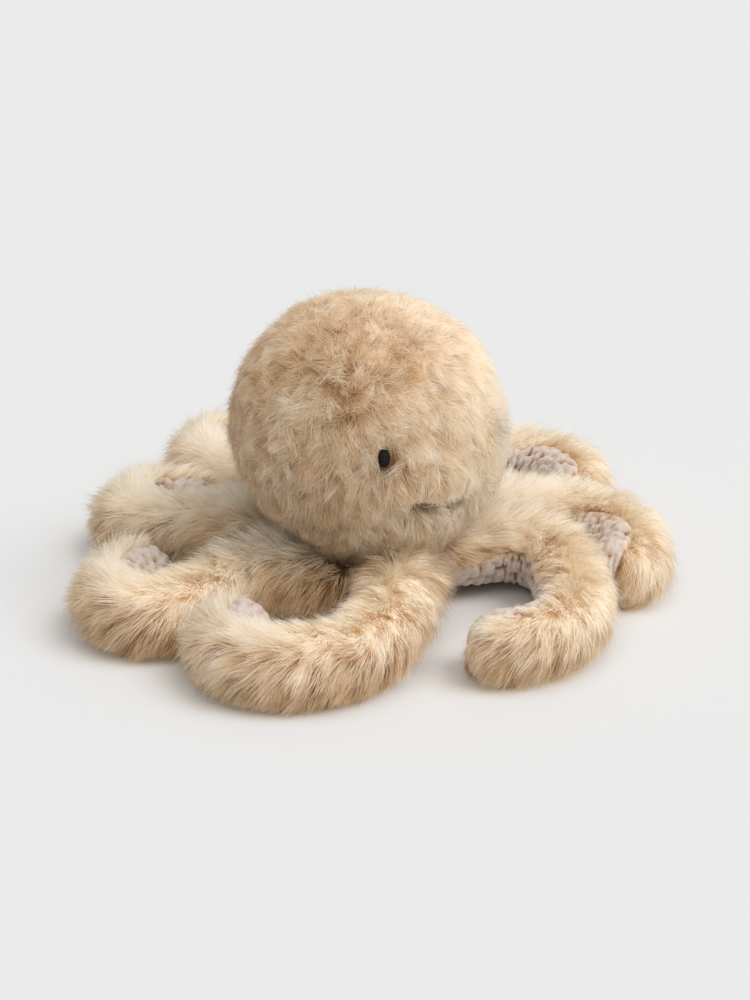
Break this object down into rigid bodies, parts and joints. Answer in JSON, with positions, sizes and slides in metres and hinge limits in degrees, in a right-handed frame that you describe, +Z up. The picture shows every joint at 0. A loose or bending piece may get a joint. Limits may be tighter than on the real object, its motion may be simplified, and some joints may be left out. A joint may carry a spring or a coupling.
{
  "type": "plush octopus",
  "caption": "Soft plush octopus with a round long-pile head on a small flat base, embroidered eyes and smile, and curled arms with fleece undersides hinged round the neck.",
  "frame": {"origin": "middle of the flat underside of the base panel, on the floor", "axes": "+Z up, the face looks along -Y, +X to the toy's own left"},
  "size_m": [0.2491, 0.2519, 0.124],
  "materials": {
    "sand_fur": "long-pile plush, sandy beige with paler tips",
    "cream_fleece": "bobbly sherpa fleece, pinkish cream",
    "polyester_filling": "loose white polyester fibre",
    "black_thread": "matt black embroidery thread"
  },
  "bodies": {
    "head": {"head_cover": "sand_fur", "head_stuffing": "polyester_filling", "base_panel": "cream_fleece", "eye_right": "black_thread", "eye_left": "black_thread", "mouth_stitching": "black_thread"},
    "arm_1": {"arm_1_fur": "sand_fur", "arm_1_fleece": "cream_fleece", "arm_1_stuffing": "polyester_filling"},
    "arm_2": {"arm_2_fur": "sand_fur", "arm_2_fleece": "cream_fleece", "arm_2_stuffing": "polyester_filling"},
    "arm_3": {"arm_3_fur": "sand_fur", "arm_3_fleece": "cream_fleece", "arm_3_stuffing": "polyester_filling"},
    "arm_4": {"arm_4_fur": "sand_fur", "arm_4_fleece": "cream_fleece", "arm_4_stuffing": "polyester_filling"},
    "arm_5": {"arm_5_fur": "sand_fur", "arm_5_fleece": "cream_fleece", "arm_5_stuffing": "polyester_filling"},
    "arm_6": {"arm_6_fur": "sand_fur", "arm_6_fleece": "cream_fleece", "arm_6_stuffing": "polyester_filling"},
    "arm_7": {"arm_7_fur": "sand_fur", "arm_7_fleece": "cream_fleece", "arm_7_stuffing": "polyester_filling"},
    "arm_8": {"arm_8_fur": "sand_fur", "arm_8_fleece": "cream_fleece", "arm_8_stuffing": "polyester_filling"}
  },
  "joints": [
    {"name": "arm_1_flop", "type": "hinge", "parent": "head", "child": "arm_1", "pos_m": [-0.00769, -0.03086, 0.0155], "axis": [-0.9703, 0.2419, 0], "range_deg": [-20, 12]},
    {"name": "arm_2_flop", "type": "hinge", "parent": "head", "child": "arm_2", "pos_m": [-0.02905, -0.01293, 0.0155], "axis": [-0.4067, 0.9135, 0], "range_deg": [-20, 12]},
    {"name": "arm_3_flop", "type": "hinge", "parent": "head", "child": "arm_3", "pos_m": [-0.02808, 0.01493, 0.0155], "axis": [0.4695, 0.8829, 0], "range_deg": [-20, 12]},
    {"name": "arm_4_flop", "type": "hinge", "parent": "head", "child": "arm_4", "pos_m": [-0.01293, 0.02905, 0.0155], "axis": [0.9135, 0.4067, 0], "range_deg": [-20, 12]},
    {"name": "arm_5_flop", "type": "hinge", "parent": "head", "child": "arm_5", "pos_m": [0.00983, 0.03024, 0.0155], "axis": [0.9511, -0.309, 0], "range_deg": [-20, 12]},
    {"name": "arm_6_flop", "type": "hinge", "parent": "head", "child": "arm_6", "pos_m": [0.02754, 0.0159, 0.0155], "axis": [0.5, -0.866, 0], "range_deg": [-20, 12]},
    {"name": "arm_7_flop", "type": "hinge", "parent": "head", "child": "arm_7", "pos_m": [0.03122, -0.00607, 0.0155], "axis": [-0.1908, -0.9816, 0], "range_deg": [-20, 12]},
    {"name": "arm_8_flop", "type": "hinge", "parent": "head", "child": "arm_8", "pos_m": [0.01778, -0.02636, 0.0155], "axis": [-0.829, -0.5592, 0], "range_deg": [-20, 12]}
  ]
}
